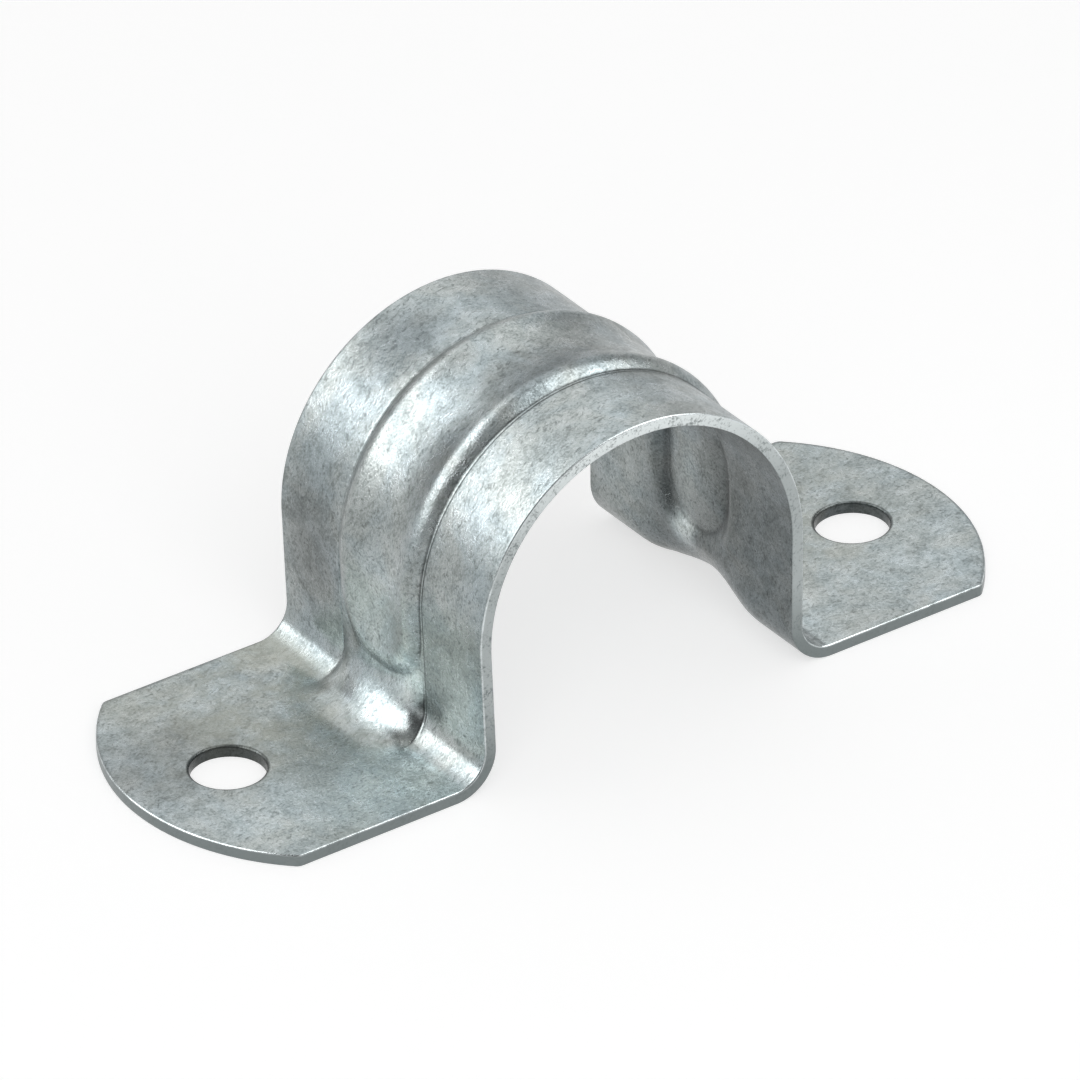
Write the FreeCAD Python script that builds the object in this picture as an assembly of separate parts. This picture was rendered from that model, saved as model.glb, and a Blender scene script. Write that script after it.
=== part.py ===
import FreeCAD
import Part

import math
import os

# A full saddle for 25 mm conduit: one zinc-coated steel strap, pressed into an arch with two drilled feet.
# Millimetres, +Z up. The conduit lies along Y, the feet point along X, and the origin is on the feet's
# underside, midway between them.

# The conduit and the sheet
conduit_diameter = 25.0
conduit_stand_proud = 1.65        # how far the free conduit hangs below the feet: the screws clamp it
sheet_thickness = 0.9
strap_width = 24.0

# The arch and the feet
overall_length = 67.4
foot_bend_radius = 2.4            # on the hollow side of the bend
leg_closing_angle = 1.2           # degrees by which each leg leans in towards the conduit
foot_end_radius = 16.4            # in plan, wider than the strap, so that it leaves clear corners
foot_corner_radius = 0.7
screw_hole_spacing = 52.4
screw_hole_diameter = 5.3
hole_mouth_ease = 0.2             # the punch draws this much of the rim down with it

# The stiffening rib over the arch, in section: two round ridges with a shallow hollow between them
rib_width = 9.6                   # between the two sharp creases
rib_height = 0.62
rib_hollow_height = 0.2
rib_flank_angle = 30.0
rib_crest_radius = 1.3
rib_foot_clearance = 4.4          # from the feet's underside up to the crease that rounds the rib's end
rib_corner_radius = 3.7           # the turn of that crease from the rib's side to its end

# The swelling that carries the rib through each bend: there the strap's middle band takes a wider bend
bend_swell_radius = 5.4           # on the hollow side of the bend, against the flats' smaller one
bend_swell_crown_radius = 15.0    # the low dome from side to side
bend_swell_crown_width = 8.2      # from shoulder to shoulder
bend_swell_shoulder_radius = 1.2
bend_swell_flank_angle = 55.0

skin_overlap = 0.02               # a swelling starts this far inside the skin that it grows from
root_share = 0.75                 # of the sheet: how deep in it the raised forms are rooted

conduit_radius = conduit_diameter / 2
outer_radius = conduit_radius + sheet_thickness
axis_height = conduit_radius - conduit_stand_proud
half_width = strap_width / 2
half_rib = rib_width / 2
half_length = overall_length / 2
mid_sheet = sheet_thickness / 2
root_depth = root_share * sheet_thickness
cutter_depth = 2 * sheet_thickness
closing = math.radians(leg_closing_angle)
flank = math.radians(rib_flank_angle)
swell_flank = math.radians(bend_swell_flank_angle)
# The swelling stands highest halfway round the bend
swell_height = (bend_swell_radius - foot_bend_radius) * (math.sqrt(2) - 1)

X_AXIS = FreeCAD.Vector(1, 0, 0)
Y_AXIS = FreeCAD.Vector(0, 1, 0)
Z_AXIS = FreeCAD.Vector(0, 0, 1)
ORIGIN = FreeCAD.Vector(0, 0, 0)
CONDUIT_AXIS = FreeCAD.Vector(0, 0, axis_height)

# The right leg: its outward normal, its way down, and where the crown's outer skin runs into it
leg_normal = FreeCAD.Vector(math.cos(closing), 0, -math.sin(closing))
leg_down = FreeCAD.Vector(-math.sin(closing), 0, -math.cos(closing))
leg_top = CONDUIT_AXIS + leg_normal * outer_radius


def corner_centre(radius):
    """The centre of an arc of this radius that leads the right leg's outer skin into the foot's face."""
    height = sheet_thickness + radius
    offset = outer_radius + radius + (height - axis_height) * math.sin(closing)
    return FreeCAD.Vector(offset / math.cos(closing), 0, height)


bend_centre = corner_centre(foot_bend_radius)


def polar(centre, radius, angle):
    """A point in the XZ plane, at an angle in radians from +X towards +Z."""
    return centre + FreeCAD.Vector(math.cos(angle), 0, math.sin(angle)) * radius


def arc_between(centre, radius, start, end):
    """An arc in the XZ plane between two angles."""
    places = [polar(centre, radius, angle) for angle in (start, (start + end) / 2, end)]
    return Part.Arc(*places).toShape()


def skin_edges(depth):
    """The right half of the side view at a depth in the sheet, from the crown's top to the foot's end."""
    crown_radius = outer_radius - depth
    bend_radius = foot_bend_radius + depth
    leg_start = polar(CONDUIT_AXIS, crown_radius, -closing)
    leg_end = polar(bend_centre, bend_radius, math.pi - closing)
    foot_start = polar(bend_centre, bend_radius, math.pi * 3 / 2)
    crown = arc_between(CONDUIT_AXIS, crown_radius, math.pi / 2, -closing)
    leg = Part.makeLine(leg_start, leg_end)
    bend = arc_between(bend_centre, bend_radius, math.pi - closing, math.pi * 3 / 2)
    foot = Part.makeLine(foot_start, FreeCAD.Vector(half_length, 0, foot_start.z))
    return [crown, leg, bend, foot]


def mirrored(shape):
    """The same shape on the left leg's side."""
    return shape.mirror(ORIGIN, X_AXIS)


def bent_strip():
    """The plain strap before its rib: the sheet's side view, drawn out to the strap's width."""
    outer = skin_edges(0)
    inner = skin_edges(sheet_thickness)
    foot_tip = Part.makeLine(outer[-1].Vertexes[-1].Point, inner[-1].Vertexes[-1].Point)
    top_seam = Part.makeLine(outer[0].Vertexes[0].Point, inner[0].Vertexes[0].Point)
    side_view = Part.Face(Part.Wire(Part.__sortEdges__(outer + [foot_tip] + inner + [top_seam])))
    side_view.translate(Y_AXIS * -half_width)
    right = side_view.extrude(Y_AXIS * strap_width)
    return right.fuse(mirrored(right)).removeSplitter()


def plan_outline():
    """The strap seen from above: straight sides and two wide end arcs, with the corners just broken."""
    arc_centre = half_length - foot_end_radius
    corner_x = arc_centre + math.sqrt(foot_end_radius ** 2 - half_width ** 2)
    front_corner = FreeCAD.Vector(corner_x, -half_width, 0)
    rear_corner = FreeCAD.Vector(corner_x, half_width, 0)
    right_end = Part.Arc(front_corner, FreeCAD.Vector(half_length, 0, 0), rear_corner).toShape()
    rear_side = Part.makeLine(rear_corner, -front_corner)
    left_end = mirrored(right_end)
    front_side = Part.makeLine(-rear_corner, front_corner)
    outline = Part.Face(Part.Wire(Part.__sortEdges__([right_end, rear_side, left_end, front_side])))
    height = axis_height + outer_radius + rib_height
    block = outline.extrude(Z_AXIS * height)
    tangents = [(edge, edge.tangentAt(edge.FirstParameter)) for edge in block.Edges]
    uprights = [edge for edge, tangent in tangents if abs(tangent.z) > abs(tangent.x) + abs(tangent.y)]
    return block.makeFillet(foot_corner_radius, uprights)


def screw_hole():
    """The cutter for the right screw hole, with its mouth eased on the foot's face."""
    radius = screw_hole_diameter / 2
    throat = sheet_thickness - hole_mouth_ease
    base = FreeCAD.Vector(screw_hole_spacing / 2, 0, -sheet_thickness)
    shank = Part.makeCylinder(radius, cutter_depth + sheet_thickness, base)
    flare = 2 * hole_mouth_ease
    mouth = Part.makeCone(radius, radius + flare, flare, FreeCAD.Vector(base.x, 0, throat))
    return shank.fuse(mouth)


def rib_curve(depth):
    """Half of the rib's section, as edges in the YZ plane from the hollow's floor out past the crease.

    Heights are above the outer skin. Every arc keeps its centre at all depths, so the wall is even."""
    floor_half = half_rib - rib_corner_radius
    crest_rise = rib_height - rib_crest_radius
    crest_y = half_rib - (rib_crest_radius + crest_rise * math.cos(flank)) / math.sin(flank)
    span = crest_y - floor_half
    drop = rib_hollow_height - crest_rise
    hollow_radius = (span ** 2 + drop ** 2 - rib_crest_radius ** 2) / (2 * (rib_crest_radius - drop))
    crest = FreeCAD.Vector(0, crest_y, crest_rise)
    hollow = FreeCAD.Vector(0, floor_half, rib_hollow_height + hollow_radius)
    lean = math.atan2(span, hollow.z - crest.z)

    def on(centre, radius, angle):
        """A point at an angle from straight up towards +Y."""
        return centre + FreeCAD.Vector(0, math.sin(angle), math.cos(angle)) * radius

    hollow_at = hollow_radius + depth
    crest_at = rib_crest_radius - depth
    floor_end = on(hollow, -hollow_at, 0)
    join = on(crest, crest_at, -lean)
    hollow_arc = Part.Arc(floor_end, on(hollow, -hollow_at, -lean / 2), join).toShape()
    flank_start = on(crest, crest_at, flank)
    crest_arc = Part.Arc(join, on(crest, crest_at, (flank - lean) / 2), flank_start).toShape()
    root = -depth - mid_sheet / 2
    root_y = flank_start.y + (flank_start.z - root) / math.tan(flank)
    return [hollow_arc, crest_arc, Part.makeLine(flank_start, FreeCAD.Vector(0, root_y, root))]


def rib_face(depth, base):
    """Half of the rib's section in the YZ plane, closed down to a base level."""
    curve = rib_curve(depth)
    start = curve[0].Vertexes[0].Point
    end = curve[-1].Vertexes[-1].Point
    corners = [end, FreeCAD.Vector(0, end.y, base), FreeCAD.Vector(0, start.y, base), start]
    return Part.Face(Part.Wire(curve + Part.makePolygon(corners).Edges))


def rib_half_ring(depth, base):
    """The rib's whole form on the right half: over the crown, down the leg and round its end."""
    half = rib_face(depth, base)
    other = half.mirror(ORIGIN, Y_AXIS)
    floor_half = half_rib - rib_corner_radius
    floor_height = rib_hollow_height - depth
    floor_corner = FreeCAD.Vector(0, -floor_half, base)
    floor = Part.makePlane(2 * floor_half, floor_height - base, floor_corner, X_AXIS, Y_AXIS)
    crown_top = CONDUIT_AXIS + Z_AXIS * outer_radius
    quarter = 90 + leg_closing_angle
    end_level = (leg_top.z - rib_foot_clearance) / math.cos(closing) - rib_corner_radius
    pieces = []
    for section in (half, other, floor):
        section.translate(crown_top)
        pieces.append(section.revolve(CONDUIT_AXIS, Y_AXIS, quarter))
        at_leg = section.copy()
        at_leg.rotate(CONDUIT_AXIS, Y_AXIS, quarter)
        pieces.append(at_leg.extrude(leg_down * end_level))
    for side, section in ((1, half), (-1, other)):
        at_end = section.copy()
        at_end.rotate(CONDUIT_AXIS, Y_AXIS, quarter)
        at_end.translate(leg_down * end_level)
        pivot = leg_top + leg_down * end_level + Y_AXIS * side * floor_half
        pieces.append(at_end.revolve(pivot, leg_normal, -90 * side))
        if side > 0:
            at_end.rotate(pivot, leg_normal, -90)
            pieces.append(at_end.extrude(Y_AXIS * -2 * floor_half))
    return pieces[0].fuse(pieces[1:]).removeSplitter()


def swell_side(side, depth, bottom):
    """Half of the swelling's section, as edges from its middle out to the flank's foot.

    Its top is at zero and its foot at the bottom. Every arc keeps its centre at all depths in the sheet."""
    lean = math.asin(bend_swell_crown_width / 2 / bend_swell_crown_radius)

    def on(centre, radius, angle):
        """A point at an angle from straight up towards this half's side."""
        return centre + FreeCAD.Vector(0, side * math.sin(angle), math.cos(angle)) * radius

    crown_at = bend_swell_crown_radius - depth
    shoulder_at = bend_swell_shoulder_radius - depth
    crown_centre = FreeCAD.Vector(0, 0, -bend_swell_crown_radius)
    shoulder_centre = on(crown_centre, crown_at - shoulder_at, lean)
    turn = on(crown_centre, crown_at, lean)
    flank_start = on(shoulder_centre, shoulder_at, swell_flank)
    flank_end_y = flank_start.y + side * (flank_start.z + bottom) / math.tan(swell_flank)
    shoulder_middle = on(shoulder_centre, shoulder_at, (lean + swell_flank) / 2)
    crown_places = [on(crown_centre, crown_at, angle) for angle in (0, lean / 2, lean)]
    crown = Part.Arc(*crown_places).toShape()
    shoulder = Part.Arc(turn, shoulder_middle, flank_start).toShape()
    return [crown, shoulder, Part.makeLine(flank_start, FreeCAD.Vector(0, flank_end_y, -bottom))]


def bend_swell(depth, bottom):
    """The swelling through the right bend: its section, carried round from the foot to the leg."""
    halves = swell_side(1, depth, bottom) + swell_side(-1, depth, bottom)
    base = Part.makeLine(halves[2].Vertexes[-1].Point, halves[-1].Vertexes[-1].Point)
    section = Part.Face(Part.Wire(Part.__sortEdges__(halves + [base])))
    centre = corner_centre(bend_swell_radius)
    section.translate(centre - Z_AXIS * (bend_swell_radius + skin_overlap))
    return section.revolve(centre, Y_AXIS, 90 + leg_closing_angle)


def under_skin():
    """All that lies inside the arch and under the feet on the right half."""
    inner = skin_edges(sheet_thickness)
    foot_tip = inner[-1].Vertexes[-1].Point
    crown_inside = inner[0].Vertexes[0].Point
    low = Z_AXIS * -cutter_depth
    corners = [foot_tip, foot_tip + low, low, crown_inside]
    side_view = Part.Face(Part.Wire(Part.__sortEdges__(inner + Part.makePolygon(corners).Edges)))
    side_view.translate(Y_AXIS * -half_width)
    return side_view.extrude(Y_AXIS * strap_width)


def saddle():
    """The strap, raised outside and hollowed inside by the same rib and swellings, then punched."""
    blank = bent_strip().common(plan_outline())
    swell_pad = bend_swell(0, swell_height + root_depth).cut(under_skin())
    raised = [rib_half_ring(0, -root_depth), swell_pad]
    swell_cutter = bend_swell(sheet_thickness, swell_height + cutter_depth)
    hollowed = [rib_half_ring(sheet_thickness, -cutter_depth), swell_cutter, screw_hole()]
    body = blank.fuse(raised + [mirrored(shape) for shape in raised])
    body = body.cut(hollowed + [mirrored(shape) for shape in hollowed])
    return body.removeSplitter()


os.makedirs("parts", exist_ok=True)
strap = saddle()
solid = strap.Solids[0]
print("solids", len(strap.Solids), "valid", solid.isValid(), "volume", round(solid.Volume, 2))
solid.exportStep("parts/saddle_strap.step")
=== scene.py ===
import math

import bpy
import numpy as np
from mathutils import Matrix, Vector


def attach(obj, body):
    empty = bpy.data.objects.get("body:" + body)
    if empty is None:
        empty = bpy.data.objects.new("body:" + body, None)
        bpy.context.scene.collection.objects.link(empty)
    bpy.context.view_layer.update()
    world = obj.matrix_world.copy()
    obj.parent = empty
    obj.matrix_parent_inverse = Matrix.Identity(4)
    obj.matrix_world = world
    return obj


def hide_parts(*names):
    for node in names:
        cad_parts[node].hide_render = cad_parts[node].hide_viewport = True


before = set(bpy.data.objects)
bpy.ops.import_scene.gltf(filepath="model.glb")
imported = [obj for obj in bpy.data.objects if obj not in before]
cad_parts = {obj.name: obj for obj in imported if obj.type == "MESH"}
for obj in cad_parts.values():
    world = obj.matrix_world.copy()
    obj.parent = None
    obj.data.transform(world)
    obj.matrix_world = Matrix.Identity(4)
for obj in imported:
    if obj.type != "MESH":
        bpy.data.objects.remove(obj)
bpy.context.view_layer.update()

mm = 0.001

# The strap's sizes in millimetres and degrees: conduit along Y, feet along X, underside at z = 0
strap = {
    "sheet": 0.9,
    "halfWidth": 12.0,
    "halfLength": 33.7,
    "conduitRadius": 12.5,
    "axisHeight": 10.85,
    "bendRadius": 2.4,
    "legClosing": 1.2,
    "footEndRadius": 16.4,
    "footCornerRadius": 0.7,
    "holeX": 26.2,
    "holeRadius": 2.65,
    "holeMouth": 0.2,
    "holeBurr": 0.05,
    "rimInset": 0.10,              # the rolled corner draws the skins in by this much
    "rimTop": 0.13,
    "rimUnder": 0.06,
    "ribHeight": 0.616,
    "ribHollow": 0.2,
    "ribCrestY": 3.5,
    "ribCrestRadius": 1.3,
    "ribFlank": 36.0,
    "ribEndFlank": 19.0,           # the flank is gentler round the rib's end
    "ribEndZ": 5.4,
    "ribEndTurn": 3.1,
    "ribEndReach": 3.8,            # the round end is drawn out from its turn to this
    "creaseY": 4.8,
    "creaseSoftness": 0.05,
    "creaseSoftnessUnder": 0.3,
    # the next four set the painted shade in creases
    "creaseTurning": 4.0,          # a skin that turns this sharply is fully dark
    "creaseTurningUnder": 2.4,
    "creaseBehind": 0.3,           # behind the middle a crease keeps this share of its dark
    "creaseBehindOver": 2.0,
    # painted shade along the feet's border and round the holes' mouths
    "borderShade": 0.3,
    "mouthShade": 0.6,
    "grooveOut": 0.17,
    "grooveWidth": 0.06,
    "grooveDepth": 0.03,
    "swellReach": 4.9,
    "swellRise": 5.6,
    "swellFlare": 0.5,
    "swellDome": 0.56,
    "swellAhead": 0.4,             # its top lies this far ahead of the middle line
    "swellStep": 9.0,
    "swellFootStep": 5.0,
    "swellFootStepBehind": 2.2,
    "swellHalfUnder": 6.8,
    "swellFromLeg": 0.9,           # it reaches inwards to this share of the leg's distance
    "plainMargin": 0.9,            # the foot is flat from this far past the swelling
    "valleySoftness": 0.2,
    "valleyBehind": 4.0,           # how many times softer it is behind the middle
    "valleyFrom": -1.5,
    "valleyOver": 4.0,
    "valleyFade": 0.4,
}
# How finely the skins are divided: counts of rows, columns and rings
divisions = {
    "crown": 44,
    "leg": 60,
    "bend": 36,
    "footStart": 26,
    "rib": 20,
    "crease": 16,
    "besideCrease": 5,
    "flat": 8,
    "side": 12,
    "corner": 6,
    "end": 38,
    "rings": 16,
    "rim": 3,
    "throat": 6,
    "wall": 3,
}
# Where the columns crowd beside the crease and the border, in millimetres, and how the foot's rings crowd at the hole
spacing = {
    "creaseInside": 0.35,
    "creaseOutside": 0.45,
    "creaseBeside": 1.4,
    "border": 0.12,
    "ringPower": 1.7,
    "lastRing": 0.965,
    "weldDigits": 5,
}

# The base skin is the strap's outer face before its rib, seen from the front as crown, leg, bend and foot
closing = math.radians(strap["legClosing"])
outerRadius = strap["conduitRadius"] + strap["sheet"]
legNormal = np.array([math.cos(closing), -math.sin(closing)])
legDown = np.array([-math.sin(closing), -math.cos(closing)])
conduitAxis = np.array([0.0, strap["axisHeight"]])
legTop = conduitAxis + legNormal * outerRadius
bendZ = strap["sheet"] + strap["bendRadius"]
bendLean = (bendZ - strap["axisHeight"]) * math.sin(closing)
bendX = (outerRadius + strap["bendRadius"] + bendLean) / math.cos(closing)
bendCentre = np.array([bendX, bendZ])
bendTurn = math.pi / 2 + closing
crownRun = outerRadius * bendTurn
legRun = float((bendCentre - legTop) @ legDown)
bendRun = strap["bendRadius"] * bendTurn
footRun = crownRun + legRun + bendRun
swellDrop = strap["axisHeight"] - strap["sheet"] - strap["swellRise"]
swellEnd = outerRadius - closing * swellDrop + strap["swellReach"]
plainFrom = swellEnd + strap["plainMargin"]
gridRun = footRun + plainFrom - bendX


# A place on the base skin and its normal, in (x, z), from the run: an angle on the crown, a distance on the leg,
# an angle in the bend, a distance on the foot. The last value is the share of the bend that is behind.
def baseSkin(run):
    angle = math.pi / 2 - np.clip(run, 0, crownRun) / outerRadius
    radial = np.stack([np.cos(angle), np.sin(angle)], -1)
    down = np.clip(run - crownRun, 0, legRun)[..., None]
    turned = np.clip(run - crownRun - legRun, 0, bendRun) / strap["bendRadius"]
    inward = np.stack([np.cos(math.pi - closing + turned), np.sin(math.pi - closing + turned)], -1)
    alongFoot = np.stack([np.clip(run - footRun, 0, None), np.zeros_like(run)], -1)
    past = (run > crownRun + legRun)[..., None]
    onFoot = bendCentre + strap["bendRadius"] * inward + alongFoot
    onArch = conduitAxis + outerRadius * radial + legDown * down
    place = np.where(past, onFoot, onArch)
    normal = np.where(past, -inward, radial)
    return place, normal, turned / bendTurn


# Height of the rib's section above the outer skin at a distance q outwards from its pivot lines: a hollow arc, a
# crest arc and a straight flank, gentler round the rib's end. At a depth in the sheet every arc keeps its centre.
def ribSection(q, endShare, depth):
    flank = np.radians(strap["ribFlank"] * (1 - endShare) + strap["ribEndFlank"] * endShare)
    crestRise = strap["ribHeight"] - strap["ribCrestRadius"]
    crestQ = strap["ribEndTurn"]
    drop = strap["ribHollow"] - crestRise
    hollowRadius = crestQ ** 2 + drop ** 2 - strap["ribCrestRadius"] ** 2
    hollowRadius /= 2 * (strap["ribCrestRadius"] - drop)
    lean = math.atan2(crestQ, drop + hollowRadius)
    crestAt = strap["ribCrestRadius"] - depth
    joinQ = crestQ - crestAt * math.sin(lean)
    flankQ = crestQ + crestAt * np.sin(flank)
    hollowAt = np.sqrt(np.clip((hollowRadius + depth) ** 2 - q ** 2, 0, None))
    hollow = strap["ribHollow"] + hollowRadius - hollowAt
    crest = crestRise + np.sqrt(np.clip(crestAt ** 2 - (q - crestQ) ** 2, 0, None))
    side = crestRise + crestAt * np.cos(flank) - (q - flankQ) * np.tan(flank)
    return np.where(q < joinQ, hollow, np.where(q < flankQ, crest, side))


# The rib is a strip with a drawn-out round end: q is the distance from the strip's own pivot lines, with the way
# below them shortened by turn / reach
def ribHeightAt(run, y, depth):
    pivotRun = crownRun + (legTop[1] - strap["ribEndZ"] - strap["ribEndReach"]) / math.cos(closing)
    aside = np.clip(np.abs(y) - (strap["ribCrestY"] - strap["ribEndTurn"]), 0, None)
    below = np.clip(run - pivotRun, 0, None) * strap["ribEndTurn"] / strap["ribEndReach"]
    q = np.hypot(aside, below)
    return ribSection(q, (below / np.maximum(q, 1e-6)) ** 2, depth)


# The higher of two heights, with the crease between them rounded over the softness
def softHigher(a, b, softness):
    near = np.clip(softness - np.abs(a - b), 0, None)
    return np.maximum(a, b) + near * near / (4 * np.maximum(softness, 1e-6))


# The rounding of the valley between rib and swelling, several times larger behind the middle. It ends with the
# swelling.
def valleyRounding(y, swell):
    behind = np.clip((y - strap["valleyFrom"]) / strap["valleyOver"], 0, 1)
    softness = strap["valleySoftness"] * (1 + (strap["valleyBehind"] - 1) * behind)
    return softness * np.clip(swell / strap["valleyFade"], 0, 1)


# The swelling's middle: the way along the skin's normal to a quarter ellipse in the corner, grown by the depth
def swellMiddleAt(place, normal, depth):
    centreZ = strap["sheet"] + strap["swellRise"]
    legX = (outerRadius + (centreZ - strap["axisHeight"]) * math.sin(closing)) / math.cos(closing)
    reach = strap["swellReach"] + depth
    rise = strap["swellRise"] + depth
    px = (place[..., 0] - legX - strap["swellReach"]) / reach
    pz = (place[..., 1] - centreZ) / rise
    nx = normal[..., 0] / reach
    nz = normal[..., 1] / rise
    a = nx * nx + nz * nz
    b = px * nx + pz * nz
    c = px * px + pz * pz - 1
    middle = (-b - np.sqrt(np.clip(b * b - a * c, 0, None))) / a
    x, z = place[..., 0], place[..., 1]
    reached = (z < centreZ) & (x < legX + strap["swellReach"]) & (x > strap["swellFromLeg"] * legX)
    return np.where(reached, np.clip(middle + depth, 0, None), 0.0)


# Relief of the outer skin above its plain face. The swelling is a low dome from side to side, a square of the way
# across from a line a little ahead of the middle, with a step at its sides, a high power of the share u of the half
# width that eases towards the foot. A fine groove follows the crease.
def outerRelief(run, y):
    place, normal, share = baseSkin(run)
    fade = share * share * (3 - 2 * share)
    u = np.clip(np.abs(y) / (strap["creaseY"] + strap["swellFlare"] * fade), 0, 1)
    footStep = np.where(y < 0, strap["swellFootStep"], strap["swellFootStepBehind"])
    power = strap["swellStep"] * (1 - fade) + footStep * fade
    across = (y + strap["swellAhead"]) / (strap["creaseY"] + strap["swellAhead"])
    dome = np.clip(1 - strap["swellDome"] * across ** 2, 0, 1)
    swell = swellMiddleAt(place, normal, 0.0) * dome * (1 - u ** power)
    rib = softHigher(ribHeightAt(run, y, 0.0), 0.0, strap["creaseSoftness"])
    relief = softHigher(rib, swell, valleyRounding(y, swell))
    beside = np.abs(y) - strap["creaseY"] - strap["swellFlare"] * fade - strap["grooveOut"]
    beside /= strap["grooveWidth"]
    return relief - strap["grooveDepth"] * np.exp(-beside * beside) * (1 - fade * fade)


# Relief of the inner skin above its plain face: the swelling there is a wide bell, the square of one less u squared
def innerRelief(run, y):
    depth = strap["sheet"]
    place, normal, _ = baseSkin(run)
    u = np.clip(np.abs(y) / strap["swellHalfUnder"], 0, 1)
    swell = swellMiddleAt(place, normal, depth) * (1 - u * u) ** 2
    rib = softHigher(ribHeightAt(run, y, depth) + depth, 0.0, strap["creaseSoftnessUnder"])
    return softHigher(rib, swell, valleyRounding(y, swell))


# A row of stops: each pair is an end and the number of steps up to it
def stops(start, *stretches):
    rows = [np.array([start])]
    for end, steps in stretches:
        rows.append(np.linspace(rows[-1][-1], end, steps + 1)[1:])
    return np.concatenate(rows)


# The strap's plan at the end of the right foot, from the front side round to the rear one, drawn in by an inset.
# Each stretch has its outward angles, its centres and its radius, and a place is centre plus radius times outward.
def footOutline(inset):
    arcX = strap["halfLength"] - strap["footEndRadius"]
    cornerY = strap["halfWidth"] - strap["footCornerRadius"]
    cornerX = arcX + math.sqrt((strap["footEndRadius"] - strap["footCornerRadius"]) ** 2 - cornerY ** 2)
    sweep = math.atan2(cornerY, cornerX - arcX)
    sideX = np.linspace(plainFrom, cornerX, divisions["side"] + 1)[:-1]
    cornerTurn = np.linspace(-math.pi / 2, -sweep, divisions["corner"] + 1)[:-1]
    endTurn = np.linspace(-sweep, sweep, divisions["end"] + 1)
    corner = strap["footCornerRadius"]
    stretches = [
        (np.full(len(sideX), -math.pi / 2), sideX, 0.0, strap["halfWidth"]),
        (cornerTurn, cornerX, -cornerY, corner),
        (endTurn, arcX, 0.0, strap["footEndRadius"]),
        (-cornerTurn[::-1], cornerX, cornerY, corner),
        (np.full(len(sideX), math.pi / 2), sideX[::-1], 0.0, strap["halfWidth"]),
    ]
    rows = [np.stack(np.broadcast_arrays(*stretch)) for stretch in stretches]
    turn, middleX, middleY, radius = np.concatenate(rows, axis=1)
    outward = np.stack([np.cos(turn), np.sin(turn)], -1)
    return np.stack([middleX, middleY], -1) + (radius - inset)[:, None] * outward, outward


# Faces between neighbouring rows of a grid of vertex numbers, turned so that row x column points outwards
def gridFaces(numbers, flip=False):
    corners = [numbers[:-1, :-1], numbers[1:, :-1], numbers[1:, 1:], numbers[:-1, 1:]]
    quads = np.stack(corners, -1).reshape(-1, 4)
    return quads[:, ::-1] if flip else quads


# Collects grids of places and welds them where they meet
class Patches:
    def __init__(self):
        self.places, self.faces, self.marks, self.count = [], [], [], 0

    # The marks are four shares at each place: the cut edge, its rubbed corner with a painted highlight, the inner
    # side's painted shade, a crease's painted shade
    def add(self, grid, flip=False, cut=0.0, rubbedAndHighlit=0.0, innerShade=0.0, crease=0.0):
        numbers = np.arange(grid.shape[0] * grid.shape[1]).reshape(grid.shape[:2]) + self.count
        self.places.append(grid.reshape(-1, 3))
        self.faces.append(gridFaces(numbers, flip))
        marks = np.broadcast_arrays(cut, rubbedAndHighlit, innerShade, crease, grid[..., 0])[:4]
        self.marks.append(np.stack(marks, -1).reshape(-1, 4))
        self.count += numbers.size

    # Places that are equal when rounded become one, which keeps the marks of the patch that was added first
    def welded(self):
        places = np.concatenate(self.places)
        rounded = np.round(places, spacing["weldDigits"])
        _, first, same = np.unique(rounded, axis=0, return_index=True, return_inverse=True)
        faces = same.reshape(-1)[np.concatenate(self.faces)]
        return places[first], faces, np.concatenate(self.marks)[first]


# A smooth mesh object from places in millimetres, with the marks as attributes that the material reads
def makeMesh(name, places, faces, marks=None):
    made = bpy.data.meshes.new(name)
    made.from_pydata(places * mm, [], faces.tolist())
    made.polygons.foreach_set("use_smooth", np.ones(len(made.polygons), bool))
    if marks is not None:
        for column, label in enumerate(("cutEdge", "rubbedAndHighlit", "innerShade", "crease")):
            values = np.ascontiguousarray(marks[:, column], np.float32)
            made.attributes.new(label, "FLOAT", "POINT").data.foreach_set("value", values)
    made.update()
    body = bpy.data.objects.new(name, made)
    bpy.context.scene.collection.objects.link(body)
    return body


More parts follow.
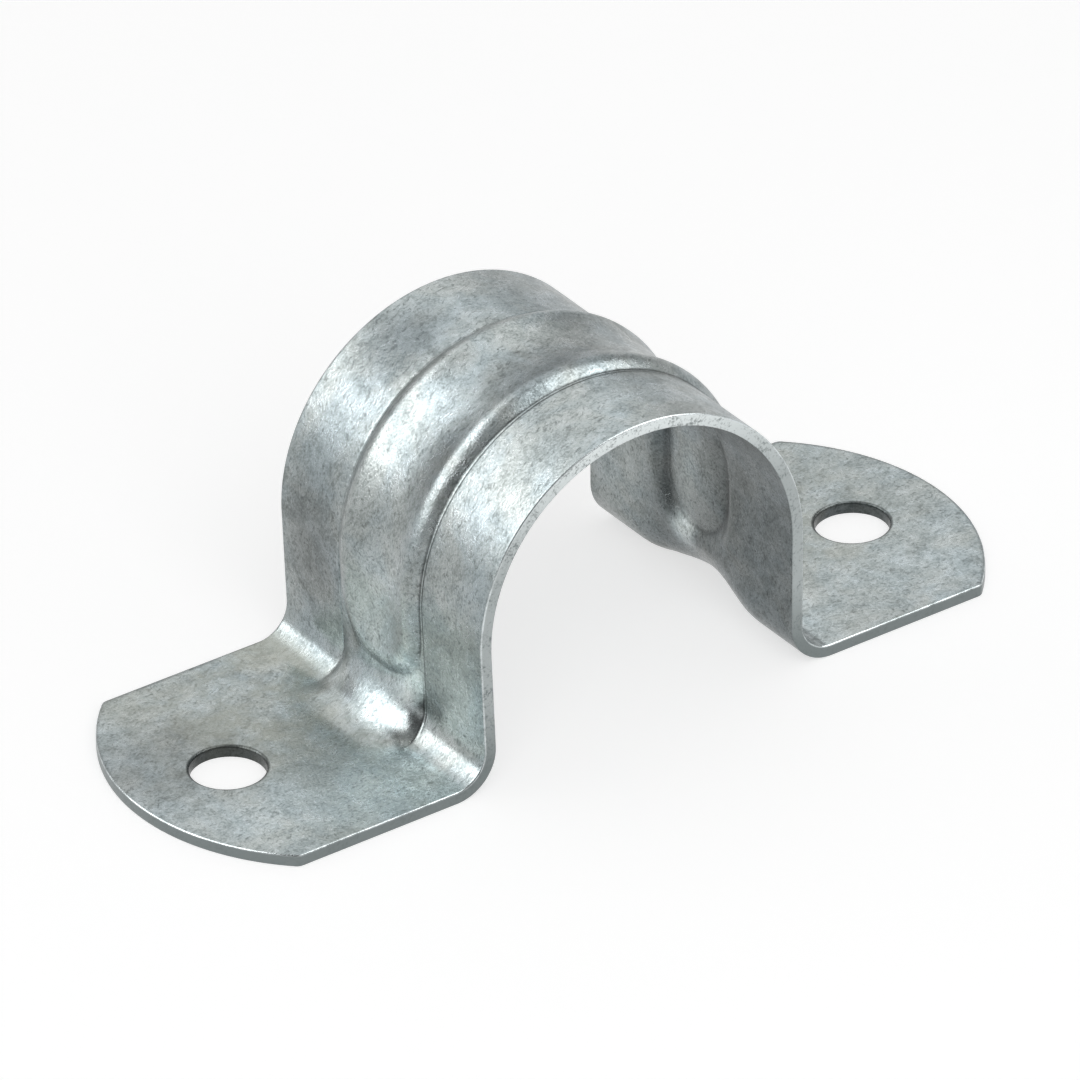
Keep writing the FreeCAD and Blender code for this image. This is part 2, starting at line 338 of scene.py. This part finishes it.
# The strap is an outer and an inner skin over the arch and its bends, two flat feet with their holes, and the cut
# edge round it all. Each skin is the base skin plus its relief along the normal.
def buildStrap():
    patches = Patches()
    sheet = strap["sheet"]
    inset = strap["rimInset"]
    half = stops(0.0, (crownRun, divisions["crown"]), (crownRun + legRun, divisions["leg"]),
                 (footRun, divisions["bend"]), (gridRun, divisions["footStart"]))
    run = np.concatenate([-half[:0:-1], half])
    creaseY = strap["creaseY"]
    border = strap["halfWidth"] - inset
    halfY = stops(0.0, (creaseY - spacing["creaseInside"], divisions["rib"]),
                  (creaseY + spacing["creaseOutside"], divisions["crease"]),
                  (creaseY + spacing["creaseBeside"], divisions["besideCrease"]),
                  (border - spacing["border"], divisions["flat"]), (border, 1))
    y = np.concatenate([-halfY[:0:-1], halfY])
    runGrid, yGrid = np.meshgrid(run, y, indexing="ij")
    place, normal, _ = baseSkin(np.abs(runGrid))
    side = np.where(runGrid < 0, -1.0, 1.0)

    def skinAt(height):
        x = side * (place[..., 0] + normal[..., 0] * height)
        return np.stack([x, yGrid, place[..., 1] + normal[..., 1] * height], -1)

    # The second derivative of a relief along one axis of the grid
    def bending(relief, along, axis):
        return np.gradient(np.gradient(relief, along, axis=axis), along, axis=axis)

    # Painted crease shade: a skin gets it where its relief turns upwards sharply, seen from its own side, fully at
    # the full turning
    def creaseShadeAt(relief, fullTurning):
        return np.clip((bending(relief, y, 1) + bending(relief, run, 0)) / fullTurning, 0, 1)

    outerHeight = outerRelief(np.abs(runGrid), yGrid)
    innerHeight = innerRelief(np.abs(runGrid), yGrid)
    outer = skinAt(outerHeight)
    inner = skinAt(innerHeight - sheet)
    behind = np.clip(yGrid / strap["creaseBehindOver"], 0, 1)
    creaseShaded = creaseShadeAt(outerHeight, strap["creaseTurning"]) * (1 - behind * (1 - strap["creaseBehind"]))
    creaseShaded[:, [0, -1]] = strap["borderShade"] * (np.abs(run) > footRun)[:, None]
    patches.add(outer, crease=creaseShaded)
    patches.add(inner, flip=True, innerShade=1.0, crease=creaseShadeAt(-innerHeight, strap["creaseTurningUnder"]))

    # The foot is rings from the hole's mouth out to the outline and the arch's first row
    outline, outward = footOutline(inset)
    arch = np.stack([np.full(len(y), plainFrom), y[::-1]], -1)
    ring = np.concatenate([arch[:-1], outline])
    hole = np.array([strap["holeX"], 0.0])
    away = (ring - hole) / np.linalg.norm(ring - hole, axis=-1, keepdims=True)
    mouthRadius = strap["holeRadius"] + strap["holeMouth"]
    mouth = hole + away * mouthRadius
    share = np.append(np.linspace(0, 1, divisions["rings"]) ** spacing["ringPower"], spacing["lastRing"])
    share.sort()
    share = share[:, None, None]
    plan = mouth * (1 - share) + ring * share
    # painted shade along the foot's border and round the hole's mouth
    shaded = np.zeros(plan.shape[:2])
    shaded[-1, len(arch):-1] = strap["borderShade"]
    shaded[0] = strap["mouthShade"]

    # The hole's mouth is rounded and its lower end has a small burr, each a quarter turn
    turn = np.linspace(0, math.pi / 2, divisions["throat"])[:, None, None]
    throat = hole + away * (mouthRadius - strap["holeMouth"] * np.sin(turn))
    throatZ = sheet - strap["holeMouth"] * (1 - np.cos(turn))
    burr = hole + away * (strap["holeRadius"] + strap["holeBurr"] * (1 - np.cos(turn)))
    burrZ = strap["holeBurr"] * (1 - np.sin(turn))
    under = plan.copy()
    under[0] = burr[-1]

    def lifted(flatPlaces, z):
        return np.concatenate([flatPlaces, np.broadcast_to(z, flatPlaces.shape[:2] + (1,))], -1)

    wall = np.concatenate([lifted(throat, throatZ), lifted(burr, burrZ)])
    for sign in (1, -1):
        mirror = np.array([sign, 1, 1])
        patches.add(lifted(plan, sheet) * mirror, flip=sign < 0, crease=shaded)
        patches.add(lifted(under, 0.0) * mirror, flip=sign > 0, innerShade=1.0)
        patches.add(wall * mirror, flip=sign > 0, innerShade=1.0, crease=strap["mouthShade"])

    # The cut edge runs once round the strap: right foot, rear side, left foot, front side
    footTop = np.concatenate([outline, np.full((len(outline), 1), sheet)], -1)
    footOut = np.concatenate([outward, np.zeros((len(outward), 1))], -1)
    down = np.array([0, 0, -sheet])
    left = np.array([-1, 1, 1])
    rightFoot, leftFoot = footTop[1:-1], (footTop * left)[::-1][1:-1]
    loopTop = np.concatenate([outer[-1:, 0], rightFoot, outer[::-1, -1], leftFoot, outer[:, 0]])
    loopUnder = np.concatenate([inner[-1:, 0], rightFoot + down, inner[::-1, -1], leftFoot + down, inner[:, 0]])
    sideOut = np.tile([0.0, 1.0, 0.0], (len(run), 1))
    leftOut = (footOut * left)[::-1][1:-1]
    loopOut = np.concatenate([-sideOut[:1], footOut[1:-1], sideOut, leftOut, -sideOut])
    through = loopTop - loopUnder
    up = through / np.linalg.norm(through, axis=-1, keepdims=True)
    turn = np.linspace(0, math.pi / 2, divisions["rim"] + 1)[:, None, None]
    top = loopTop + loopOut * inset * np.sin(turn) - up * strap["rimTop"] * (1 - np.cos(turn))
    bottom = loopUnder + loopOut * inset * np.cos(turn) + up * strap["rimUnder"] * (1 - np.sin(turn))
    share = np.linspace(0, 1, divisions["wall"] + 1)[1:-1, None, None]
    middle = top[-1] * (1 - share) + bottom[0] * share
    rim = np.concatenate([top, middle, bottom])
    row = np.arange(len(rim))[:, None]
    isCut = (row > 0) & (row < len(rim) - 1)
    isRubbedAndHighlit = (row > 0) & (row < divisions["rim"])
    patches.add(rim, cut=isCut * 1.0, rubbedAndHighlit=isRubbedAndHighlit * 1.0)
    places, faces, marks = patches.welded()
    return makeMesh("strapSkin", places, faces, marks)


strapBody = buildStrap()
print("strap built:", len(strapBody.data.vertices), "vertices,", len(strapBody.data.polygons), "faces")

# The zinc finish. Lengths are in millimetres, bumps too. A range is the pair of values between which a share grows,
# with what it starts and ends at where that isn't 0 and 1.
zinc = {
    "light": (0.412, 0.452, 0.466),
    "middle": (0.283, 0.32, 0.323),
    "dark": (0.154, 0.178, 0.179),
    "warmTint": (1.03, 0.995, 0.965),
    "coolTint": (0.98, 1.0, 1.02),
    "stain": (0.24, 0.245, 0.205),
    "stainShare": 0.6,
    # Painted highlights, reflections and shade, with some uneven coat, where the colour is lighter or darker: centre,
    # half sizes, and the share that it gains or loses
    "patches": [
        ((-13.6, 8.5, 10.0), (4.0, 4.5, 7.5), -0.36),
        ((-13.8, -1.0, 8.0), (4.0, 5.0, 7.5), 0.52),
        ((-13.8, -8.5, 5.0), (4.0, 4.5, 5.0), 0.25),
        ((-13.5, -8.5, 10.5), (4.0, 4.5, 6.0), 0.15),
        # this and the next: painted reflections beside the left swelling
        ((-14.3, -3.7, 5.0), (2.2, 2.0, 2.2), 1.00),
        ((-15.5, 4.2, 2.6), (2.4, 2.2, 2.6), 0.50),
        # this and the next: painted shade that dims the crown's highlights
        ((-1.0, -2.0, 24.5), (7.0, 3.5, 4.0), -0.40),
        ((-10.5, -2.0, 20.5), (4.5, 3.4, 4.5), -0.36),
        ((13.0, 1.6, 9.5), (1.8, 2.2, 9.0), 0.80),
        ((-6.0, 8.4, 23.0), (5.0, 4.5, 4.0), -0.40),
        ((5.0, -9.0, 23.0), (9.0, 4.0, 4.0), 0.12),
        ((12.3, -0.5, 10.5), (2.5, 2.4, 6.0), 0.60),
        ((12.3, 9.0, 8.0), (2.4, 6.0, 10.0), 1.10),
        # a painted highlight on the right leg's inner side, below the rib's end
        ((13.5, 1.6, 4.8), (1.1, 2.2, 1.8), 3.20),
        ((-24.0, -8.0, 1.0), (9.0, 5.0, 4.0), 0.20),
        ((-29.0, 3.0, 1.0), (9.0, 7.0, 4.0), -0.32),
        ((26.0, -6.0, 1.0), (9.0, 6.0, 4.0), 0.08),
    ],
    "pit": (0.05, 0.052, 0.05),
    "cutEdge": (0.74, 0.79, 0.79),
    "cutEdgeLow": (0.18, 0.205, 0.205),
    # the rubbed corner's colour, a painted highlight
    "rubbedAndHighlit": (0.68, 0.73, 0.74),
    "innerShadeTone": 0.54,
    "creaseShadeTone": 0.35,
    "patchRange": (1.35, 0.5),
    "patchRagged": 0.5,
    "mottleSize": 1.5,
    "streakSize": 0.75,
    "streakThin": 0.22,
    "streakTurns": ((0.5, 0.6, 0.9), (-0.7, 0.3, -0.5)),
    "grainSize": 0.17,
    "flowerSize": 1.25,
    "broadSize": 7.0,
    "tintSize": 5.0,
    "blotchSize": 3.5,
    "bendScale": 1.4,              # bends the crystal and streak patterns by up to bendReach
    "bendReach": 0.8,
    "mottleShare": 0.38,
    "streakShare": 0.22,
    "grainShare": 0.32,
    "flowerShare": 0.04,
    "broadShare": 0.08,
    "flowerRange": (0.35, 0.65),
    "middleRange": (0.38, 0.52),
    "lightRange": (0.50, 0.68),
    "tintRange": (0.38, 0.62),
    "hairRange": (0.45, 0.34, 1.0, 0.66),     # dark hairs where the second streaks are low
    "stainOutwards": (33.0, 22.0),
    "stainUpwards": (1.7, 1.0),
    "stainBehind": (-7.0, 2.0, 0.1, 1.0),
    "blotchRange": (0.32, 0.58),
    "pitSpacing": 1.9,
    "pitRadius": 0.11,
    "pitChance": 0.55,
    "pitWobble": 0.05,
    "pitLeast": 0.025,
    "pitSharpness": 40.0,
    "pitShare": 0.75,
    "pitDepth": 0.5,
    "pitOnCut": 0.8,
    # this and the next: heights over which the cut edge is painted paler, a painted reflection
    "legPaleness": (2.0, 7.0, 0.05, 0.40),
    "topPaleness": (16.0, 23.5, 0.0, 0.60),
    "cutRange": (0.53, 0.66, 0.15, 1.0),
    "cutGrain": 0.3,
    "rubbedHighlightRange": (0.40, 0.60, 0.25, 1.0),
    "roughnessRange": (0.42, 0.62),
    "roughnessLow": 0.24,
    "roughnessHigh": 0.38,
    "cutRougher": 0.06,
    "rubbedRougher": -0.12,
    "pressedOutwards": (19.0, 17.5),          # the sheet is smoother where the tool pressed it, by the bends
    "pressedUpwards": (5.5, 3.5),
    "pressedRougher": -0.03,
    "smoothed": 0.35,
    "bump": 0.072,
}


# Adds nodes to an emptied tree. Inputs go by name, or by number as i0, i1 and so on, and take a value or a socket.
class Nodes:
    def __init__(self, tree):
        self.tree = tree
        tree.nodes.clear()

    def add(self, kind, settings=None, **inputs):
        node = self.tree.nodes.new(kind)
        for name, value in (settings or {}).items():
            setattr(node, name, value)
        for name, value in inputs.items():
            self.feed(node, name, value)
        return node

    def feed(self, node, name, value):
        isNumber = name[0] == "i" and name[1:].isdigit()
        socket = node.inputs[int(name[1:]) if isNumber else name.replace("_", " ")]
        if isinstance(value, bpy.types.NodeSocket):
            self.tree.links.new(value, socket)
        else:
            socket.default_value = value


# The finish mixes crystal patches, soft mottling, fine streaks in two directions and grain into one tone, which sets
# colour, roughness and bump together. Small pits, warm stains by the bends and a paler cut edge lie over it, with
# painted light and shade: patches of painted highlight, reflection and shade, painted shade in the creases and on the
# inner side, and a painted highlight on the cut edge's corner.
def makeZinc():
    material = bpy.data.materials.new("zinc")
    material.use_nodes = True
    n = Nodes(material.node_tree)

    def maths(operation, a, b=0.5, c=0.5, clamp=False):
        return n.add("ShaderNodeMath", {"operation": operation, "use_clamp": clamp}, i0=a, i1=b, i2=c).outputs[0]

    def spread(value, low, high, out0=0.0, out1=1.0):
        return n.add("ShaderNodeMapRange", i0=value, i1=low, i2=high, i3=out0, i4=out1).outputs[0]

    def blend(share, a, b):
        return n.add("ShaderNodeMix", {"data_type": "RGBA"}, i0=share, i6=a, i7=b).outputs[2]

    def noise(place, size, detail, roughness, distortion=0.0):
        made = n.add("ShaderNodeTexNoise", Vector=place, Scale=1 / size, Detail=detail, Roughness=roughness,
                     Distortion=distortion)
        return made.outputs[0]

    def vector(operation, a, b, c=(0.0, 0.0, 0.0), output=0):
        return n.add("ShaderNodeVectorMath", {"operation": operation}, i0=a, i1=b, i2=c).outputs[output]

    def scaled(value, factor):
        return n.add("ShaderNodeVectorMath", {"operation": "SCALE"}, i0=value, Scale=factor).outputs[0]

    coords = n.add("ShaderNodeTexCoord").outputs["Object"]
    inMm = vector("MULTIPLY", coords, (1 / mm,) * 3)
    ways = n.add("ShaderNodeTexNoise", Vector=inMm, Scale=zinc["bendScale"], Detail=3.0).outputs["Color"]
    bent = vector("MULTIPLY_ADD", ways, (zinc["bendReach"],) * 3, inMm)
    flower = n.add("ShaderNodeTexVoronoi", Vector=bent, Scale=1 / zinc["flowerSize"], Randomness=1.0)
    flowerTone = n.add("ShaderNodeSeparateColor", i0=flower.outputs["Color"]).outputs[0]
    mottle = noise(inMm, zinc["mottleSize"], 6.0, 0.68, 0.4)
    broad = noise(inMm, zinc["broadSize"], 2.0, 0.5)
    grain = noise(inMm, zinc["grainSize"], 3.0, 0.65)
    streaks = []
    slim = zinc["streakSize"] / zinc["streakThin"]
    for turn in zinc["streakTurns"]:
        turned = n.add("ShaderNodeMapping", i0=bent, i2=turn).outputs[0]
        streaks.append(noise(vector("MULTIPLY", turned, (1.0, slim, slim)), zinc["streakSize"], 3.0, 0.6))
    streak = blend(spread(flowerTone, *zinc["flowerRange"]), streaks[0], streaks[1])
    tone = maths("MULTIPLY_ADD", mottle, zinc["mottleShare"], maths("MULTIPLY", streak, zinc["streakShare"]))
    for part, share in ((grain, "grainShare"), (flowerTone, "flowerShare"), (broad, "broadShare")):
        tone = maths("MULTIPLY_ADD", part, zinc[share], tone)
    darker = blend(spread(tone, *zinc["middleRange"]), zinc["dark"] + (1,), zinc["middle"] + (1,))
    colour = blend(spread(tone, *zinc["lightRange"]), darker, zinc["light"] + (1,))
    colour = scaled(colour, spread(streaks[1], *zinc["hairRange"]))
    tint = spread(noise(inMm, zinc["tintSize"], 3.0, 0.6, 0.5), *zinc["tintRange"])
    tinted = blend(tint, zinc["warmTint"] + (1,), zinc["coolTint"] + (1,))
    multiplied = {"data_type": "RGBA", "blend_type": "MULTIPLY"}
    colour = n.add("ShaderNodeMix", multiplied, i0=1.0, i6=colour, i7=tinted).outputs[2]

    # Painted light and shade, with some uneven coat: the colour is multiplied by 1 plus the shares of the broad
    # patches, which fade out softly
    along = n.add("ShaderNodeSeparateXYZ", i0=inMm)
    coatAndPaintedLight = 1.0
    for centre, size, share in zinc["patches"]:
        away = vector("DIVIDE", vector("SUBTRACT", inMm, centre), size)
        reach = n.add("ShaderNodeVectorMath", {"operation": "LENGTH"}, i0=away).outputs[1]
        ragged = maths("MULTIPLY_ADD", mottle, zinc["patchRagged"], reach)
        lightAndCoatPatch = n.add("ShaderNodeMapRange", {"interpolation_type": "SMOOTHSTEP"}, i0=ragged,
                      i1=zinc["patchRange"][0], i2=zinc["patchRange"][1], i3=0.0, i4=share)
        coatAndPaintedLight = maths("ADD", lightAndCoatPatch.outputs[0], coatAndPaintedLight)
    colour = scaled(colour, coatAndPaintedLight)

    # Stains gather on the feet near the bends, behind the middle
    aside = maths("ABSOLUTE", along.outputs[0])
    upwards = along.outputs[2]
    nearBend = maths("MULTIPLY", spread(aside, *zinc["stainOutwards"]), spread(upwards, *zinc["stainUpwards"]))
    behind = spread(along.outputs[1], *zinc["stainBehind"])
    blotch = spread(noise(inMm, zinc["blotchSize"], 4.0, 0.6), *zinc["blotchRange"])
    stained = maths("MULTIPLY", maths("MULTIPLY", nearBend, behind), blotch)
    stained = maths("MULTIPLY", stained, zinc["stainShare"])
    colour = blend(stained, colour, zinc["stain"] + (1,))

    # Pits are round spots in some of the cells, larger in some than in others
    cells = n.add("ShaderNodeTexVoronoi", Vector=inMm, Scale=1 / zinc["pitSpacing"], Randomness=1.0)
    chance = n.add("ShaderNodeSeparateColor", i0=cells.outputs["Color"])
    size = spread(chance.outputs[1], zinc["pitChance"], 1.0, 0.0, zinc["pitRadius"] / zinc["pitSpacing"])
    wobble = maths("MULTIPLY_ADD", grain, zinc["pitWobble"], cells.outputs["Distance"])
    inside = maths("SUBTRACT", maths("ADD", size, zinc["pitLeast"]), wobble)
    pit = maths("MULTIPLY", inside, zinc["pitSharpness"], clamp=True)
    colour = blend(maths("MULTIPLY", pit, zinc["pitShare"]), colour, zinc["pit"] + (1,))

    # The cut edge is painted paler upwards, palest on the arch, as a painted reflection; its pits and mottling are
    # its own. Its outer corner is rubbed, with a painted highlight
    cut, rubbedAndHighlit, innerShade, crease = (n.add("ShaderNodeAttribute", {"attribute_name": label}).outputs["Fac"]
                                      for label in ("cutEdge", "rubbedAndHighlit", "innerShade", "crease"))
    onLegs = spread(upwards, *zinc["legPaleness"])
    onTop = spread(upwards, *zinc["topPaleness"])
    spots = spread(maths("MULTIPLY_ADD", grain, zinc["cutGrain"], tone), *zinc["cutRange"])
    paleness = maths("MULTIPLY", spots, maths("ADD", onLegs, onTop))
    edge = blend(paleness, zinc["cutEdgeLow"] + (1,), zinc["cutEdge"] + (1,))
    # painted highlight on the rubbed corner
    edge = blend(maths("MULTIPLY", rubbedAndHighlit, spread(mottle, *zinc["rubbedHighlightRange"])), edge, zinc["rubbedAndHighlit"] + (1,))
    unpitted = maths("SUBTRACT", 1.0, maths("MULTIPLY", pit, zinc["pitOnCut"]))
    colour = blend(maths("MULTIPLY", cut, unpitted), colour, edge)

    # Painted shade: the inner side is darkened, and so are the creases
    innerDarkening = spread(innerShade, 0.0, 1.0, 1.0, zinc["innerShadeTone"])
    colour = scaled(colour, maths("MULTIPLY", innerDarkening, spread(crease, 0.0, 1.0, 1.0, zinc["creaseShadeTone"])))

    rough = spread(tone, *zinc["roughnessRange"], zinc["roughnessHigh"], zinc["roughnessLow"])
    rough = maths("MULTIPLY_ADD", cut, zinc["cutRougher"], rough)
    rough = maths("MULTIPLY_ADD", rubbedAndHighlit, zinc["rubbedRougher"], rough)
    pressed = maths("MULTIPLY", spread(aside, *zinc["pressedOutwards"]), spread(upwards, *zinc["pressedUpwards"]))
    rough = maths("MULTIPLY_ADD", pressed, zinc["pressedRougher"], rough)
    calm = maths("MULTIPLY", *(spread(place, 0.0, 1.0, 1.0, zinc["smoothed"]) for place in (cut, pressed)))
    height = maths("SUBTRACT", tone, maths("MULTIPLY", pit, zinc["pitDepth"]))
    height = maths("MULTIPLY", height, calm)
    bump = n.add("ShaderNodeBump", Strength=1.0, Distance=zinc["bump"] * mm, Height=height)
    shader = n.add("ShaderNodeBsdfPrincipled", Base_Color=colour, Metallic=1.0, Roughness=rough,
                   Normal=bump.outputs[0])
    n.add("ShaderNodeOutputMaterial", Surface=shader.outputs[0])
    return material


strapBody.data.materials.append(makeZinc())
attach(strapBody, "root")
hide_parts("saddle_strap")
print("finish applied")

# The floor and the light round it
studio = {
    "floorSize": 3.0,
    "floorTone": 0.60,
    "floorGlow": 0.63,
    "sweepTop": 0.05,
    "ceilingFrom": 0.38,
    "ceiling": 0.40,
    "sweepEnd": 0.16,
    "darkSide": (-0.87, -0.43, 0.25),
    "darkShare": 0.75,
    "darkRange": (0.62, 0.92),
    "aimHeight": 0.012,
}


# A matt floor. It also glows for rays from the camera, from metal and through glass, so that they see it white.
def makeFloor():
    reach = studio["floorSize"] / 2
    places = np.array([[-reach, -reach, 0], [reach, -reach, 0], [reach, reach, 0], [-reach, reach, 0]]) / mm
    floor = makeMesh("floor", places, np.array([[0, 1, 2, 3]]))
    material = bpy.data.materials.new("floorPaper")
    material.use_nodes = True
    n = Nodes(material.node_tree)
    ray = n.add("ShaderNodeLightPath")
    paper = n.add("ShaderNodeBsdfDiffuse", Color=(studio["floorTone"],) * 3 + (1,))
    seen = ray.outputs["Is Camera Ray"]
    for kind in ("Is Glossy Ray", "Is Transmission Ray"):
        seen = n.add("ShaderNodeMath", {"operation": "MAXIMUM"}, i0=seen, i1=ray.outputs[kind]).outputs[0]
    strength = n.add("ShaderNodeMath", {"operation": "MULTIPLY"}, i0=seen, i1=studio["floorGlow"]).outputs[0]
    glow = n.add("ShaderNodeEmission", Color=(1, 1, 1, 1), Strength=strength)
    both = n.add("ShaderNodeAddShader", i0=paper.outputs[0], i1=glow.outputs[0])
    n.add("ShaderNodeOutputMaterial", Surface=both.outputs[0])
    floor.data.materials.append(material)
    return floor


# The room is white along the horizon, as the sweep behind the floor, dimmer above, and dark to one side above that
# sweep: the cosine of the angle from the dark side's direction sets how dark
def makeWorld():
    world = bpy.data.worlds.new("studio")
    bpy.context.scene.world = world
    world.use_nodes = True
    n = Nodes(world.node_tree)
    direction = n.add("ShaderNodeTexCoord").outputs["Generated"]
    upward = n.add("ShaderNodeSeparateXYZ", i0=direction).outputs[2]
    smooth = {"interpolation_type": "SMOOTHSTEP"}
    ceiling = n.add("ShaderNodeMapRange", smooth, i0=upward, i1=studio["sweepTop"], i2=studio["ceilingFrom"],
                    i3=1.0, i4=studio["ceiling"])
    toSide = n.add("ShaderNodeVectorMath", {"operation": "DOT_PRODUCT"}, i0=direction, i1=studio["darkSide"])
    inside = n.add("ShaderNodeMapRange", smooth, i0=toSide.outputs[1], i1=studio["darkRange"][0],
                   i2=studio["darkRange"][1], i3=0.0, i4=studio["darkShare"])
    above = n.add("ShaderNodeMapRange", smooth, i0=upward, i1=studio["sweepTop"], i2=studio["sweepEnd"])
    shade = n.add("ShaderNodeMath", {"operation": "MULTIPLY"}, i0=inside.outputs[0], i1=above.outputs[0])
    unshaded = n.add("ShaderNodeMath", {"operation": "SUBTRACT"}, i0=1.0, i1=shade.outputs[0])
    product = n.add("ShaderNodeMath", {"operation": "MULTIPLY"}, i0=ceiling.outputs[0], i1=unshaded.outputs[0])
    strength = product.outputs[0]
    back = n.add("ShaderNodeBackground", Color=(1, 1, 1, 1), Strength=strength)
    n.add("ShaderNodeOutputWorld", Surface=back.outputs[0])


# A soft lamp that looks at the strap from an angle round it, measured from +X, and a height in degrees. Sizes are
# in metres. Its power is pi times its area times its glow.
def makeLamp(name, around, height, distance, width, tall, glow):
    data = bpy.data.lights.new(name, "AREA")
    data.shape = "RECTANGLE"
    data.size, data.size_y, data.energy = width, tall, math.pi * width * tall * glow
    lamp = bpy.data.objects.new(name, data)
    turn, lift = math.radians(around), math.radians(height)
    away = Vector((math.cos(turn) * math.cos(lift), math.sin(turn) * math.cos(lift), math.sin(lift)))
    lamp.location = away * distance + Vector((0, 0, studio["aimHeight"]))
    lamp.rotation_euler = away.to_track_quat("Z", "Y").to_euler()
    bpy.context.scene.collection.objects.link(lamp)
    return lamp


# Three lamps shape the metal's highlights and leave the floor plain. The fill lights the floor and gives no
# highlight. Each has its angle round the strap, height, distance, width, tallness and glow.
lamps = {
    "leftSoftbox": (157, 39, 0.7, 0.80, 0.58, 3.9),
    "rearSoftbox": (76, 50, 0.8, 0.96, 0.80, 1.15),
    "frontTop": (330, 56, 0.8, 0.56, 0.80, 3.9),
    "frontFill": (243, 42, 0.8, 0.80, 0.60, 1.7),
}
makeFloor()
makeWorld()
for name, values in lamps.items():
    lamp = makeLamp(name, *values)
    if name == "frontFill":
        lamp.visible_glossy = False
    else:
        lamp.visible_diffuse = False
print("floor and lights placed")

# The camera, fitted to the photograph: view angles in degrees, distances in millimetres
view = {
    "azimuth": -34.33,
    "elevation": 31.773,
    "roll": -1.392,
    "distance": 850.43,
    "asideX": -0.33825,
    "asideY": 7.82856,
    "lens": 412.42,
    "sensor": 36.0,
    "clipFrom": 0.05,              # the clip distances are in metres
    "clipTo": 20.0,
}


# The camera looks back along its own axis at a place set aside from the origin, and is rolled about that axis
def makeCamera():
    az, el, roll = (math.radians(view[name]) for name in ("azimuth", "elevation", "roll"))
    back = Vector((math.sin(az) * math.cos(el), -math.cos(az) * math.cos(el), math.sin(el)))
    right = Vector((math.cos(az), math.sin(az), 0))
    up = right.cross(-back)
    across = right * math.cos(roll) + up * math.sin(roll)
    upward = -right * math.sin(roll) + up * math.cos(roll)
    place = (across * view["asideX"] + upward * view["asideY"] + back * view["distance"]) * mm
    data = bpy.data.cameras.new("camera")
    data.lens, data.sensor_width = view["lens"], view["sensor"]
    data.clip_start, data.clip_end = view["clipFrom"], view["clipTo"]
    camera = bpy.data.objects.new("camera", data)
    turn = Matrix((across, upward, back)).transposed().to_4x4()
    camera.matrix_world = Matrix.Translation(place) @ turn
    bpy.context.scene.collection.objects.link(camera)
    bpy.context.scene.camera = camera


makeCamera()
bpy.context.scene.view_settings.view_transform = "Standard"
print("camera placed")
